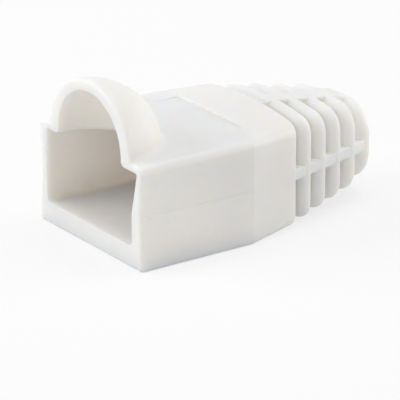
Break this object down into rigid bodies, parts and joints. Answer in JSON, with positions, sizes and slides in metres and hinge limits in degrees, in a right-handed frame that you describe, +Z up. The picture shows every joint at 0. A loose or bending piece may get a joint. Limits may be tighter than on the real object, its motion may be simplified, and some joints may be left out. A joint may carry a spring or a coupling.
{
  "type": "network plug strain relief boot",
  "caption": "Soft moulded strain relief boot for a modular network plug: box mouth, hooded latch cover, and a slotted, tapering cable tail.",
  "frame": {"origin": "middle of the outer box at the flat underside, so the boot stands on Z = 0", "axes": "+Y runs from the mouth to the cable end, +Z up towards the hood, X = 0 is the middle plane"},
  "size_m": [0.014, 0.0238, 0.0133],
  "materials": {
    "boot": "satin"
  },
  "bodies": {
    "root": {"boot": "boot"}
  },
  "joints": []
}
